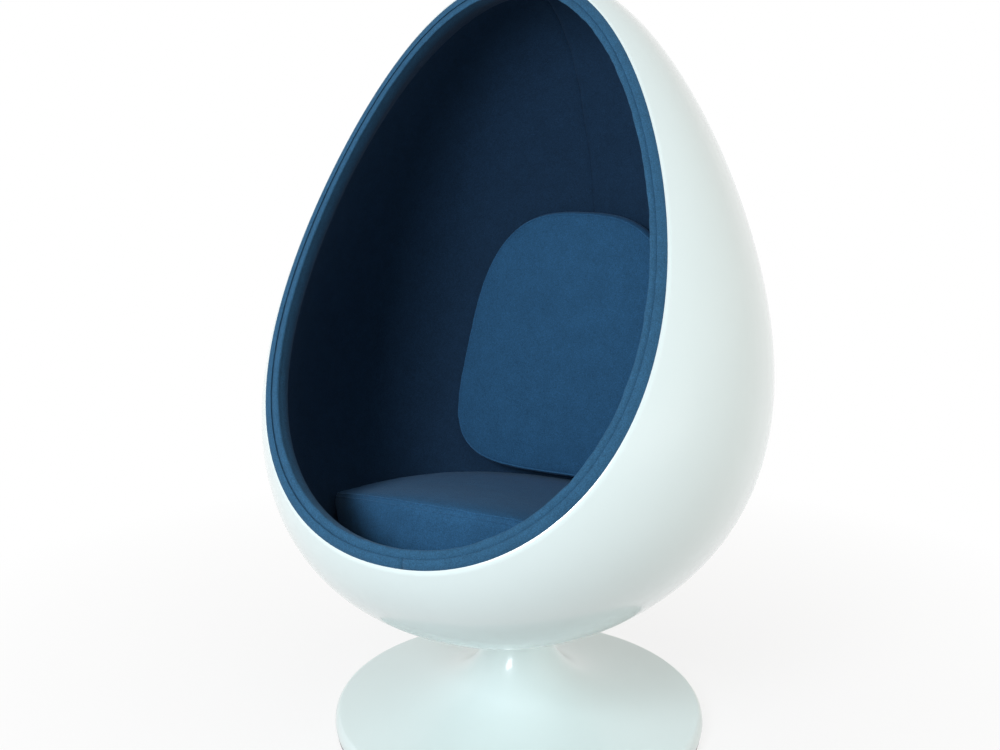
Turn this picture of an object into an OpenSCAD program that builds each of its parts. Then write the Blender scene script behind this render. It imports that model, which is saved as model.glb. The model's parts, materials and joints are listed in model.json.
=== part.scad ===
// Egg-shaped pod chair: a glossy shell with a padded blue inside, turning on a round trumpet foot.
// Origin on the floor under the swivel axis, +Z up, the opening faces -Y, all sizes in millimetres.

/* [Pod] */
// Width of the egg at its widest
pod_w = 860; // [800:5:920]
// Length of the egg along its own axis
pod_l = 1120; // [1060:5:1180]
// Angle that the egg leans back by
pod_lean = 4; // [2:0.5:6]
// Distance of the egg's middle behind the swivel axis
pod_back = 5; // [0:1:12]
// Thickness of the moulded shell
shell_t = 6; // [4:0.5:8]

/* [Opening] */
// Angle that the plane of the opening faces up by
opening_lean = 27; // [24:0.5:30]
// Distance from the egg's middle to the opening
opening_out = 227.5; // [213:0.5:242]
// Radius of the shallow bow of the opening, seen from the side
opening_bow = 3125; // [2600:25:4000]

/* [Lining] */
// Thickness of the padded lining
lining_t = 24; // [18:1:28]
// Depth of the trim band that carries the shell on at its edge
trim_t = 7.5; // [6:0.5:9]
// Diameter of the padded roll inside the trim
roll_d = 16; // [14:0.5:18]

/* [Seat] */
// Height of the seat deck's top at the swivel axis
seat_z = 329; // [322:1:336]
// Angle that the seat falls towards the back by
seat_tilt = 10.7; // [9:0.1:12]
// Thickness of the seat cushion along its middle
seat_t = 105; // [95:1:112]
// Reach of the seat cushion in front of the swivel axis, over the egg's width
seat_front_share = 0.3605; // [0.343:0.0005:0.372]
// How far the front edge runs back at the sides
seat_bow = 170; // [150:1:190]
// Thickness of the seat deck
deck_t = 12; // [9:1:15]

/* [Back cushion] */
// Width of the back cushion at its middle, over the egg's width
back_w_share = 0.5256; // [0.488:0.0002:0.546]
// Height of the back cushion, over the egg's width
back_l_share = 0.5977; // [0.558:0.0001:0.616]
// Thickness of the back cushion at its border
back_t = 58; // [50:1:62]
// Swell of its front panel
back_crown = 16; // [10:1:22]
// Angle that the back cushion leans back by
back_lean = 10; // [9:0.5:11]

/* [Foot] */
// Diameter of the foot
foot_d = 670; // [620:5:700]
// Diameter of the neck at its top
neck_d = 96; // [92:1:104]
// Height of the neck's top
neck_z = 186; // [182:1:196]
// Wall of the trumpet foot
foot_wall = 4; // [3:0.5:5]

/* [Hidden] */

// Smoothness of round pieces
$fn = 64;
// Overrun of cuts
over = 1;
// Running clearance of a pin in its hole, on the radius
fit = 0.05;
// Gap left beside soft pieces, and between the seat cushion and the flats of the lining
soft_gap = 0.3;
seat_gap = 2.4;

// Shares that give the egg its form, from the round one (0) on
swell_share = -0.26;
tip_share = 0.07;
back_depth_share = 0.9;
back_grow_share = 0.1;
front_depth_share = 0.88;
front_grow_share = -0.4;
front_swell_share = 0.04;
// Squareness of the egg's cross-section, 2 is an ellipse
egg_square = 2.14;

// Facets round the opening, from its middle to the edge, and steps of each search
around = 48;
rows = 16;
search = 26;

// Swivel, from the top down
swivel_gap = 3;
boss_show = 7.36;
boss_h = 33;
boss_z = neck_z + swivel_gap;
pod_z = boss_z + boss_show + pod_l / 2 * cos(pod_lean);
plate_h = 8;
plate_r = 40;
race_h = 4;
race_in = 18;
race_out = 34;
ball_d = 8;
ball_count = 12;
ball_gap = 0.02;
cage_h = 3;
cage_in = 20;
cage_out = 32;
spindle_r = 12;
bush_wall = 4;
clip_groove = 1.5;
clip_wall = 6;
clip_h = 3;
washer_h = 4;
washer_wall = 8;
washer_gap = 0.3;
spindle_tail = 10;
housing_r = 36;
housing_h = 35;
spigot_h = 18;
post_wall = 5;
post_r = 30;

race_top = boss_z - plate_h;
ball_top = race_top - race_h;
ball_z = ball_top - ball_gap - ball_d / 2;
ball_low = ball_z - ball_gap - ball_d / 2;
housing_top = ball_low - race_h;
post_top = housing_top - housing_h;
spigot_low = post_top - spigot_h;
washer_top = spigot_low - washer_gap;
clip_top = washer_top - washer_h;
clip_low = clip_top - clip_h;

// Foot
pad_h = 3;
plate_t = 6;
lip_in = 10;
lip_z = 33;
lip_mid = 15;
plate_gap = 1;
flange_r = 80;
flange_h = 8;
ballast_gap = 45;
ballast_w = 90;
ballast_h = 18;
screw_r = 4;
screw_count = 6;
screw_depth = 14;
bolt_r = 5;
bolt_count = 4;
bolt_circle = 60;
bolt_head_r = 9;
bolt_head_h = 6.5;
flat_washer_r = 11;
flat_washer_h = 2;
spacer_h = 8;
spacer_drop = 14;
foot_r = foot_d / 2;
ballast_out = foot_r - ballast_gap;
ballast_in = ballast_out - ballast_w;
neck_r = neck_d / 2;
lip_r = foot_r - lip_in;
flange_z = pad_h + plate_t;
flare_steps = 12;
lip_angles = [70, 50, 30, 10, -10, -30];

// Clamped joint of shell, backing plate and pedestal
shell_bolt_r = 4;
shell_bolt_circle = 28;
shell_bolt_head_r = 7;
shell_bolt_head_h = 5.5;
shell_washer_r = 8;
shell_washer_h = 1.6;
shell_bolt_grip = 6;
backing_r = 52;
backing_t = 5;
pedestal_base_r = 50;
pedestal_base_t = 5;
pedestal_r = 17;
pedestal_wall = 4;
pedestal_head_r = 80;
pedestal_head_t = 5;
hub_hole_r = 60;
boss_top = boss_z + boss_h;
backing_top = boss_top + backing_t;
pedestal_foot_top = backing_top + pedestal_base_t;

// Section of the rim: how far in from the shell's outside, and how far behind the opening
trim_round = 2;
trim_bevel = 0.6;
lining_in = shell_t + lining_t;
roll_r = roll_d / 2;
roll_sides = 12;
roll_gap = 0.4;
roll_rise = 1.5;
roll_slant_share = 0.69;
roll_half = roll_r * roll_slant_share;
lip_t = 1.6;
bed_low_share = 0.86;
bed_high_share = 0.72;
roll_in = shell_t + lip_t + roll_gap + roll_half;
roll_off = roll_rise - roll_r;
lining_end = 18.5;

// Seat
deck_gap = 3;
deck_screw_r = 3;
deck_screw_circle = 62;
deck_screw_head_r = 6;
deck_screw_head_h = 3;
deck_screw_bite = 9;
drop_front = 35;
drop_back = 19;
drop_half_share = 0.3616;
drop_power = 2.2;
seat_dome = 5;
seat_mid = -40;
seat_front = seat_front_share * pod_w;
drop_half = drop_half_share * pod_w;
seat_sides = 44;
// Height and drawn-in distance of each ring of the seat cushion's sides, over its thickness
seat_ring_share = [0, 0.07, 0.3, 0.6, 0.86, 0.96, 1];
seat_in_share = [0.067, 0.014, 0, 0, 0.01, 0.029, 0.076];
seat_top_share = [0.88, 0.7, 0.48, 0.25];

// Back cushion, its foot's place on the seat cushion and its clearance there
back_foot_share = 0.1802;
back_rest_gap = 2;
back_low_square = 4;
back_top_square = 3;
back_taper_share = 0.17;
back_sides = 44;
back_ring_share = [0, 0.12, 0.4, 0.7, 0.9, 1];
back_in_share = [0.276, 0.086, 0, 0, 0.052, 0.138];
back_top_share = [0.86, 0.66, 0.44, 0.22];
strip_t = 1.5;
strip_w = 25;
strip_l = 170;
strip_x = 55;
lumbar_w = 200;
lumbar_low = 150;
lumbar_high = 70;
lumbar_deep = 200;

white = "#eef4f2";
blue = "#2a5d88";
navy = "#234a6e";
steel = "#9aa0a6";
dark_steel = "#4a4e54";
brass = "#b8974a";

// A number raised to a power with its sign kept
function spow(x, k) = sign(x) * pow(abs(x), k);

// Width of the egg at the height share c, before it is scaled
function bulge(c) = sqrt(max(0, 1 - c * c)) * (1 + swell_share * c + tip_share * pow(c, 3));
egg_peak = max([for (i = [-100:100]) bulge(i / 100)]);

// Depth of the egg over its width, behind (s > 0) or in front of its axis
function depth_share(s, c) = s > 0 ? back_depth_share * (1 + back_grow_share * c)
    : front_depth_share * (1 + front_grow_share * c + front_swell_share * c * c);

// From the egg's own frame to the part's frame, and back
function lean_out(p) = [p.x, p.y * cos(pod_lean) + p.z * sin(pod_lean) + pod_back,
    -p.y * sin(pod_lean) + p.z * cos(pod_lean) + pod_z];
function lean_in(p) = let (y = p.y - pod_back, z = p.z - pod_z)
    [p.x, y * cos(pod_lean) - z * sin(pod_lean), y * sin(pod_lean) + z * cos(pod_lean)];

// Point of the egg's surface drawn in by "inset", in the direction d
function egg_point(d, inset) = let (
    r = (pod_w / 2 - inset) * bulge(d.z) / egg_peak,
    a = atan2(d.y, d.x),
    ux = spow(cos(a), 2 / egg_square),
    uy = spow(sin(a), 2 / egg_square))
    lean_out([r * ux, r * uy * depth_share(uy, d.z), (pod_l / 2 - inset) * d.z]);

// Below 0 inside the egg drawn in by "inset"
function egg_side(p, inset) = let (
    q = lean_in(p),
    c = q.z / (pod_l / 2 - inset))
    abs(c) >= 1 ? pod_w : pow(pow(abs(q.x), egg_square)
        + pow(abs(q.y / depth_share(q.y, c)), egg_square), 1 / egg_square)
        - (pod_w / 2 - inset) * bulge(c) / egg_peak;

// Directions about the axis of the opening: a from its back pole, v round it from the top
function pole_dir(a, v) = [sin(v) * sin(a),
    cos(opening_lean) * cos(a) + sin(opening_lean) * cos(v) * sin(a),
    -sin(opening_lean) * cos(a) + cos(opening_lean) * cos(v) * sin(a)];

// Distance in front of the bowed surface of the opening
function opening_side(p) = let (y = p.y - pod_back, z = p.z - pod_z,
    w = y * sin(opening_lean) + z * cos(opening_lean))
    z * sin(opening_lean) - y * cos(opening_lean) - opening_out - w * w / (2 * opening_bow);

// Angle a at which the drawn-in egg meets the opening moved out by "off"
function rim_angle(v, inset, off, low = 40, high = 170, n = search) = let (m = (low + high) / 2)
    n == 0 ? m : opening_side(egg_point(pole_dir(m, v), inset)) > off
        ? rim_angle(v, inset, off, low, m, n - 1) : rim_angle(v, inset, off, m, high, n - 1);

// One point of the rim, and one closed or open row of them
function rim_point(v, inset, off) = egg_point(pole_dir(rim_angle(v, inset, off), v), inset);
function rim_row(inset, off, first, count) =
    [for (j = [0:count - 1]) rim_point(first + 360 * j / around, inset, off)];

// Points of the drawn-in egg from its back pole to the opening, "count" of them in each row
function bowl_points(inset, off, first, count) = let (
    edge = [for (j = [0:count - 1]) rim_angle(first + 360 * j / around, inset, off)])
    concat([egg_point(pole_dir(0, 0), inset)], [for (i = [1:rows], j = [0:count - 1])
        egg_point(pole_dir(edge[j] * i / rows, first + 360 * j / around), inset)]);

// Number of a point in such a list
function at(i, j, count) = i == 0 ? 0 : 1 + (i - 1) * count + j % count;

// Faces between two rows of points that start at a and b, closed where wrap is true
function strip_faces(a, b, count, wrap) = [for (j = [0:count - (wrap ? 1 : 2)], k = [0, 1])
    let (m = (j + 1) % count) k == 0 ? [a + j, a + m, b + m] : [a + j, b + m, b + j]];
function turned(faces) = [for (f = faces) [f[0], f[2], f[1]]];
function moved(faces, n) = [for (f = faces) [f[0] + n, f[1] + n, f[2] + n]];

// Faces of a bowl, seen from outside
function bowl_faces(count, wrap) = concat(
    [for (j = [0:count - (wrap ? 1 : 2)]) [0, at(1, j + 1, count), at(1, j, count)]],
    [for (i = [1:rows - 1]) each turned(strip_faces(at(i, 0, count), at(i + 1, 0, count), count, wrap))]);

// Closed solid whose rings of points follow each other, with flat or domed ends
function ring_faces(rings, count) = [for (i = [0:rings - 2])
    each turned(strip_faces(i * count, (i + 1) * count, count, true))];

// Ring swept round the opening, from a section of [inset, off] pairs
module rim_sweep(section) {
    n = len(section);
    points = [for (s = section) each rim_row(s[0], s[1], 0, around)];
    faces = [for (k = [0:n - 1]) each strip_faces(k * around, ((k + 1) % n) * around, around, true)];
    polyhedron(points, faces, convexity = 6);
}

// Bowl between two drawn-in eggs, all round
module bowl_solid(inset_a, off_a, inset_b, off_b) {
    a = bowl_points(inset_a, off_a, 0, around);
    b = bowl_points(inset_b, off_b, 0, around);
    n = len(a);
    f = bowl_faces(around, true);
    edge = strip_faces(n + at(rows, 0, around), at(rows, 0, around), around, true);
    polyhedron(concat(a, b), concat(f, turned(moved(f, n)), edge), convexity = 6);
}

// Solid core that fills the lining
module inner_core() {
    a = bowl_points(lining_in, -trim_t - lining_end, 0, around);
    n = len(a);
    lid = [for (j = [0:around - 1]) [at(rows, j, around), at(rows, j + 1, around), n]];
    middle = rim_mid(lining_in, -trim_t - lining_end);
    polyhedron(concat(a, [middle]), concat(bowl_faces(around, true), turned(lid)), convexity = 6);
}
function rim_mid(inset, off) = (rim_point(0, inset, off) + rim_point(180, inset, off)) / 2;

// Bed of the roll in the lining's edge, as [inset, off] pairs from the shell inwards
bed = [[shell_t + lip_t, -trim_t], [shell_t + lip_t, roll_off - bed_low_share * roll_r],
    [roll_in, roll_off - roll_r - roll_gap],
    [roll_in + roll_half + roll_gap, roll_off - bed_high_share * roll_r]];

// Half of the lining, from the angle "first" on
module lining_half(first) {
    count = around / 2 + 1;
    e = count - 1;
    a = bowl_points(shell_t, -trim_t, first, count);
    b = bowl_points(lining_in, -trim_t - lining_end, first, count);
    n = len(a);
    last = at(rows, 0, count);
    f = bowl_faces(count, false);
    lines = concat([last], [for (k = [0:len(bed) - 1]) 2 * n + k * count], [n + last]);
    edge = [for (k = [1:len(lines) - 1]) each strip_faces(lines[k], lines[k - 1], count, false)];
    near = [for (i = [0:rows - 2], k = [0, 1])
        let (o = at(i, 0, count), p = at(i + 1, 0, count))
        k == 0 ? [o, n + p, p] : [o, n + o, n + p]];
    far = [for (i = [0:rows - 2], k = [0, 1])
        let (o = at(i, e, count), p = at(i + 1, e, count))
        k == 0 ? [o, p, n + p] : [o, n + p, n + o]];
    q = at(rows - 1, 0, count);
    fan = concat(lines, [n + q]);
    tips = [for (k = [1:len(fan) - 1]) each
        [[q, fan[k], fan[k - 1]], [q + e, fan[k - 1] + e, fan[k] + e]]];
    difference() {
        polyhedron(concat(a, b, [for (s = bed) each rim_row(s[0], s[1], first, count)]),
            concat(f, turned(moved(f, n)), edge, turned(near), turned(far), turned(tips)),
            convexity = 6);
        translate([0, 0, boss_z]) cylinder(r = hub_hole_r, h = seat_z - boss_z);
    }
}

// Bolts, washers and holes on a circle
module on_circle(count, radius, turn = 0) {
    for (i = [0:count - 1]) rotate([0, 0, turn + 360 * i / count]) translate([radius, 0, 0]) children();
}
module hex_bolt(r, length, head_r, head_h) {
    translate([0, 0, -length]) cylinder(r = r, h = length);
    cylinder(r = head_r, h = head_h, $fn = 6);
}
module ring(r_in, r_out, h) {
    rotate_extrude() translate([r_in, 0]) square([r_out - r_in, h]);
}

// Height of the flare of the foot at the radius r, its slope and its inner side
flare_k = (neck_z - lip_z) / (1 / neck_r - 1 / lip_r);
function flare_z(r) = lip_z + flare_k * (1 / r - 1 / lip_r);
function flare_r(i) = neck_r * pow(lip_r / neck_r, i / flare_steps);
function flare_in(r) = let (s = flare_k / (r * r), n = sqrt(1 + s * s))
    [r - foot_wall * s / n, flare_z(r) - foot_wall / n];
lip_low = -asin((lip_mid - pad_h) / (lip_z - lip_mid));
lip_low_in = -asin((lip_mid - pad_h) / (lip_z - foot_wall - lip_mid));
function lip_point(a, d) = [lip_r + (foot_r - lip_r - d) * cos(a),
    lip_mid + (lip_z - lip_mid - d) * sin(a)];

// Foot
module floor_pad() {
    color("#3b3d40") cylinder(r = lip_point(lip_low, 0)[0], h = pad_h);
}
module base_plate() {
    color(dark_steel) translate([0, 0, pad_h]) difference() {
        cylinder(r = lip_point(lip_low_in, foot_wall)[0] - plate_gap, h = plate_t);
        translate([0, 0, -over]) on_circle(screw_count, (ballast_in + ballast_out) / 2)
            cylinder(r = screw_r + fit, h = plate_t + 2 * over);
        translate([0, 0, -over]) on_circle(bolt_count, bolt_circle)
            cylinder(r = bolt_r + fit, h = plate_t + 2 * over);
    }
}
module base_trumpet() {
    outer = concat([for (i = [0:flare_steps]) let (r = flare_r(i)) [r, flare_z(r)]],
        [for (a = lip_angles) lip_point(a, 0)], [lip_point(lip_low, 0)]);
    inner = concat([lip_point(lip_low_in, foot_wall)],
        [for (i = [1:len(lip_angles)]) lip_point(lip_angles[len(lip_angles) - i], foot_wall)],
        [for (i = [0:flare_steps]) flare_in(flare_r(flare_steps - i))]);
    color(white) rotate_extrude() polygon(concat(outer, inner));
}
module ballast_ring() {
    color(dark_steel) translate([0, 0, flange_z]) difference() {
        ring(ballast_in, ballast_out, ballast_h);
        translate([0, 0, -over]) on_circle(screw_count, (ballast_in + ballast_out) / 2)
            cylinder(r = screw_r + fit, h = screw_depth + over);
    }
}
module plate_screws() {
    color(steel) translate([0, 0, pad_h]) on_circle(screw_count, (ballast_in + ballast_out) / 2)
        cylinder(r = screw_r, h = plate_t + screw_depth - over);
}
module base_post() {
    color(dark_steel) difference() {
        union() {
            translate([0, 0, flange_z]) ring(post_r - post_wall, flange_r, flange_h);
            translate([0, 0, flange_z]) ring(post_r - post_wall, post_r, post_top - flange_z);
        }
        translate([0, 0, flange_z - over]) on_circle(bolt_count, bolt_circle)
            cylinder(r = bolt_r + fit, h = flange_h + 2 * over);
    }
}
module flange_bolts() {
    color(steel) translate([0, 0, flange_z + flange_h + flat_washer_h]) on_circle(bolt_count, bolt_circle)
        hex_bolt(bolt_r, flat_washer_h + flange_h + plate_t, bolt_head_r, bolt_head_h);
}
module flange_washers() {
    color(steel) translate([0, 0, flange_z + flange_h]) on_circle(bolt_count, bolt_circle)
        ring(bolt_r + fit, flat_washer_r, flat_washer_h);
}
module swivel_housing() {
    color(dark_steel) {
        translate([0, 0, post_top]) ring(spindle_r + bush_wall + fit, housing_r, housing_h);
        translate([0, 0, spigot_low])
            ring(spindle_r + bush_wall + fit, post_r - post_wall - fit, spigot_h);
    }
}
module spindle_bush() {
    color(brass) translate([0, 0, spigot_low])
        ring(spindle_r + fit, spindle_r + bush_wall, spigot_h + housing_h);
}
module lower_race() {
    color(steel) translate([0, 0, housing_top]) ring(race_in, race_out, race_h);
}
module neck_spacer() {
    low = housing_top - spacer_drop;
    r_top = flare_k / (low + spacer_h + foot_wall - lip_z + flare_k / lip_r);
    color("#e8e6df") translate([0, 0, low]) ring(housing_r + fit, flare_in(r_top)[0] - soft_gap, spacer_h);
}

// Bearing
module ball_cage() {
    color(brass) translate([0, 0, ball_z - cage_h / 2]) difference() {
        ring(cage_in, cage_out, cage_h);
        translate([0, 0, -over]) on_circle(ball_count, (cage_in + cage_out) / 2)
            cylinder(r = ball_d / 2 + fit, h = cage_h + 2 * over);
    }
}
module bearing_balls() {
    color(steel) translate([0, 0, ball_z]) on_circle(ball_count, (cage_in + cage_out) / 2)
        sphere(r = ball_d / 2, $fn = 24);
}

// Pod: swivel
module swivel_spindle() {
    low = clip_low - spindle_tail;
    color(steel) difference() {
        union() {
            translate([0, 0, race_top]) cylinder(r = plate_r, h = plate_h);
            translate([0, 0, low]) cylinder(r = spindle_r, h = race_top - low + over);
        }
        translate([0, 0, clip_low]) ring(spindle_r - clip_groove, spindle_r + over, clip_h);
        translate([0, 0, boss_z - shell_bolt_grip]) on_circle(bolt_count, shell_bolt_circle, 45)
            cylinder(r = shell_bolt_r + fit, h = shell_bolt_grip + over);
    }
}
module upper_race() {
    color(steel) translate([0, 0, ball_top]) ring(race_in, race_out, race_h);
}
module retaining_washer() {
    color(steel) translate([0, 0, clip_top]) ring(spindle_r + fit, spindle_r + washer_wall, washer_h);
}
module retaining_clip() {
    color(dark_steel) translate([0, 0, clip_low])
        ring(spindle_r - clip_groove, spindle_r - clip_groove + clip_wall, clip_h);
}

// Pod: shell
module egg_shell() {
    color(white) difference() {
        union() {
            bowl_solid(0, -trim_t, shell_t, -trim_t);
            translate([0, 0, boss_z]) cylinder(r = neck_r, h = boss_h);
        }
        translate([0, 0, boss_z - over]) on_circle(bolt_count, shell_bolt_circle, 45)
            cylinder(r = shell_bolt_r + fit, h = boss_h + 2 * over);
    }
}
module backing_plate() {
    color(steel) translate([0, 0, boss_top]) difference() {
        cylinder(r = backing_r, h = backing_t);
        translate([0, 0, -over]) on_circle(bolt_count, shell_bolt_circle, 45)
            cylinder(r = shell_bolt_r + fit, h = backing_t + 2 * over);
    }
}
module seat_pedestal() {
    color(dark_steel) difference() {
        union() {
            translate([0, 0, backing_top]) cylinder(r = pedestal_base_r, h = pedestal_base_t);
            difference() {
                translate([0, 0, backing_top]) cylinder(r = pedestal_r, h = seat_z - backing_top);
                seat_frame() translate([-pedestal_head_r, -pedestal_head_r, -deck_t - pedestal_head_t / 2])
                    cube([2 * pedestal_head_r, 2 * pedestal_head_r, seat_t]);
            }
            seat_frame() translate([0, 0, -deck_t - pedestal_head_t])
                cylinder(r = pedestal_head_r, h = pedestal_head_t);
        }
        translate([0, 0, backing_top - over]) cylinder(r = pedestal_r - pedestal_wall,
            h = seat_z - backing_top - deck_t - 3 * pedestal_head_t);
        translate([0, 0, backing_top - over]) on_circle(bolt_count, shell_bolt_circle, 45)
            cylinder(r = shell_bolt_r + fit, h = pedestal_base_t + 2 * over);
        seat_frame() translate([0, 0, -deck_t - pedestal_head_t - over])
            on_circle(bolt_count, deck_screw_circle)
            cylinder(r = deck_screw_r + fit, h = pedestal_head_t + 2 * over);
    }
}
module shell_bolts() {
    color(steel) translate([0, 0, pedestal_foot_top + shell_washer_h])
        on_circle(bolt_count, shell_bolt_circle, 45)
        hex_bolt(shell_bolt_r, pedestal_foot_top + shell_washer_h - boss_z + shell_bolt_grip - over,
            shell_bolt_head_r, shell_bolt_head_h);
}
module shell_washers() {
    color(steel) translate([0, 0, pedestal_foot_top]) on_circle(bolt_count, shell_bolt_circle, 45)
        ring(shell_bolt_r + fit, shell_washer_r, shell_washer_h);
}

// Pod: rim and lining
module rim_trim() {
    color(blue) rim_sweep([[0, -trim_t], [0, -trim_round], [trim_bevel, -trim_bevel], [trim_round, 0],
        [shell_t - trim_round, 0], [shell_t - trim_bevel, -trim_bevel], [shell_t, -trim_round],
        [shell_t, -trim_t]]);
}
module rim_roll() {
    color(blue) rim_sweep([for (k = [0:roll_sides - 1]) let (a = 180 - 360 * k / roll_sides)
        [roll_in + roll_half * cos(a), roll_off + roll_r * sin(a)]]);
}
module lining_left() {
    color(navy) lining_half(180);
}
module lining_right() {
    color(navy) lining_half(0);
}

// Seat: its own frame starts on the deck's top and falls towards the back
module seat_frame() {
    translate([0, 0, seat_z]) rotate([-seat_tilt, 0, 0]) children();
}
function seat_world(p) = [p.x, p.y * cos(seat_tilt) + p.z * sin(seat_tilt),
    -p.y * sin(seat_tilt) + p.z * cos(seat_tilt) + seat_z];

// Thickness of the seat cushion at x, y: it drops to the sides, most at the front
function seat_thick(x, y) = seat_t - (drop_back + (drop_front - drop_back)
    * (seat_front / 2 - y) / seat_front) * pow(abs(x) / drop_half, drop_power);

// Below 0 inside the outline of the seat, at the share f of its thickness
function seat_side(x, y, f, gap) = max(egg_side(seat_world([x, y, f * seat_thick(x, y)]), lining_in + gap),
    seat_bow * pow(x / drop_half, 2) - seat_front - y);
function seat_reach(a, f, gap, low = 0, high = pod_w, n = search) = let (m = (low + high) / 2)
    n == 0 ? low : seat_side(m * cos(a), seat_mid + m * sin(a), f, gap) > 0
        ? seat_reach(a, f, gap, low, m, n - 1) : seat_reach(a, f, gap, m, high, n - 1);
function deck_side(x, y) = max(egg_side(seat_world([x, y, -deck_t]), lining_in + deck_gap),
    egg_side(seat_world([x, y, 0]), lining_in + deck_gap));
function deck_reach(a, low = 0, high = pod_w, n = search) = let (m = (low + high) / 2)
    n == 0 ? low : deck_side(m * cos(a), seat_mid + m * sin(a)) > 0
        ? deck_reach(a, low, m, n - 1) : deck_reach(a, m, high, n - 1);

module seat_deck() {
    outline = [for (j = [0:seat_sides - 1]) let (a = 360 * j / seat_sides, r = deck_reach(a))
        [r * cos(a), seat_mid + r * sin(a)]];
    color(navy) seat_frame() translate([0, 0, -deck_t]) difference() {
        linear_extrude(deck_t) polygon(outline);
        translate([0, 0, -over]) on_circle(bolt_count, deck_screw_circle)
            cylinder(r = deck_screw_r + fit, h = deck_screw_bite + over);
    }
}
module deck_screws() {
    color(steel) seat_frame() translate([0, 0, -deck_t - pedestal_head_t])
        on_circle(bolt_count, deck_screw_circle) {
        cylinder(r = deck_screw_r, h = pedestal_head_t + deck_screw_bite - over);
        translate([0, 0, -deck_screw_head_h]) cylinder(r = deck_screw_head_r, h = deck_screw_head_h);
    }
}
module seat_cushion() {
    sides = len(seat_ring_share);
    tops = len(seat_top_share);
    rim = [for (j = [0:seat_sides - 1]) let (a = 360 * j / seat_sides)
        seat_reach(a, 1, seat_gap) - seat_t * seat_in_share[sides - 1]];
    walls = [for (i = [0:sides - 1], j = [0:seat_sides - 1]) let (a = 360 * j / seat_sides,
        r = seat_reach(a, seat_ring_share[i], seat_gap) - seat_t * seat_in_share[i],
        x = r * cos(a), y = seat_mid + r * sin(a)) [x, y, seat_ring_share[i] * seat_thick(x, y)]];
    domes = [for (s = seat_top_share, j = [0:seat_sides - 1]) let (a = 360 * j / seat_sides,
        x = s * rim[j] * cos(a), y = seat_mid + s * rim[j] * sin(a))
        [x, y, seat_thick(x, y) + seat_dome * (1 - s * s)]];
    n = (sides + tops) * seat_sides;
    ends = concat([for (j = [0:seat_sides - 1]) let (k = (j + 1) % seat_sides) [n, j, k]],
        [for (j = [0:seat_sides - 1]) let (k = (j + 1) % seat_sides, t = n - seat_sides)
            [n + 1, t + k, t + j]]);
    middles = [[0, seat_mid, 0], [0, seat_mid, seat_t + seat_dome]];
    color(blue) seat_frame() polyhedron(concat(walls, domes, middles),
        concat(ring_faces(sides + tops, seat_sides), ends), convexity = 4);
}

// Back cushion: its own frame stands in the middle of its flat back, x across, y up, z to the front
back_w = back_w_share * pod_w;
back_half = back_l_share * pod_w / 2;
back_foot = back_foot_share * pod_w;
back_up = [0, sin(back_lean), cos(back_lean)];
back_out = [0, -cos(back_lean), sin(back_lean)];
back_at = seat_world([0, back_foot, seat_t + back_rest_gap]) + back_half * back_up - back_t * back_out;
module back_frame() {
    translate(back_at) rotate([90 - back_lean, 0, 0]) children();
}
function back_square(s) = s < 0 ? back_low_square : back_top_square;
function back_point(a, d) = let (s = sin(a), v = spow(s, 2 / back_square(s)),
    u = spow(cos(a), 2 / back_square(s)) * (1 - back_taper_share * v))
    [u * (back_w / 2 - d), v * (back_half - d)];
module back_cushion() {
    sides = len(back_ring_share);
    tops = len(back_top_share);
    walls = [for (i = [0:sides - 1], j = [0:back_sides - 1])
        let (p = back_point(360 * j / back_sides, back_t * back_in_share[i]))
        [p[0], p[1], back_ring_share[i] * back_t]];
    domes = [for (s = back_top_share, j = [0:back_sides - 1])
        let (p = back_point(360 * j / back_sides, back_t * back_in_share[sides - 1]))
        [s * p[0], s * p[1], back_t + back_crown * (1 - s * s)]];
    n = (sides + tops) * back_sides;
    ends = concat([for (j = [0:back_sides - 1]) let (k = (j + 1) % back_sides) [n, j, k]],
        [for (j = [0:back_sides - 1]) let (k = (j + 1) % back_sides, t = n - back_sides)
            [n + 1, t + k, t + j]]);
    color(blue) back_frame() polyhedron(concat(walls, domes, [[0, 0, 0], [0, 0, back_t + back_crown]]),
        concat(ring_faces(sides + tops, back_sides), ends), convexity = 4);
}
module lumbar_block() {
    color(navy) intersection() {
        inner_core();
        back_frame() translate([-lumbar_w / 2, -lumbar_low, -lumbar_deep - 2 * strip_t - soft_gap])
            cube([lumbar_w, lumbar_low + lumbar_high, lumbar_deep]);
    }
}
module strip_pair(z) {
    back_frame() for (s = [-1, 1]) translate([s * strip_x - strip_w / 2, -lumbar_low + strip_w, z])
        cube([strip_w, strip_l, strip_t]);
}
module hook_strips() {
    color("#2c3136") strip_pair(-2 * strip_t - soft_gap);
}
module loop_strips() {
    color("#3a4a58") strip_pair(-strip_t);
}

floor_pad();
base_plate();
base_trumpet();
ballast_ring();
plate_screws();
base_post();
flange_bolts();
flange_washers();
swivel_housing();
spindle_bush();
lower_race();
neck_spacer();
ball_cage();
bearing_balls();
swivel_spindle();
upper_race();
retaining_washer();
retaining_clip();
egg_shell();
backing_plate();
seat_pedestal();
shell_bolts();
shell_washers();
rim_trim();
rim_roll();
lining_left();
lining_right();
seat_deck();
deck_screws();
seat_cushion();
lumbar_block();
hook_strips();
loop_strips();
back_cushion();
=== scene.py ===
import json
import math

import bmesh
import bpy
import numpy as np
from mathutils import Matrix, Vector
from mathutils.bvhtree import BVHTree
from mathutils.kdtree import KDTree


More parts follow.
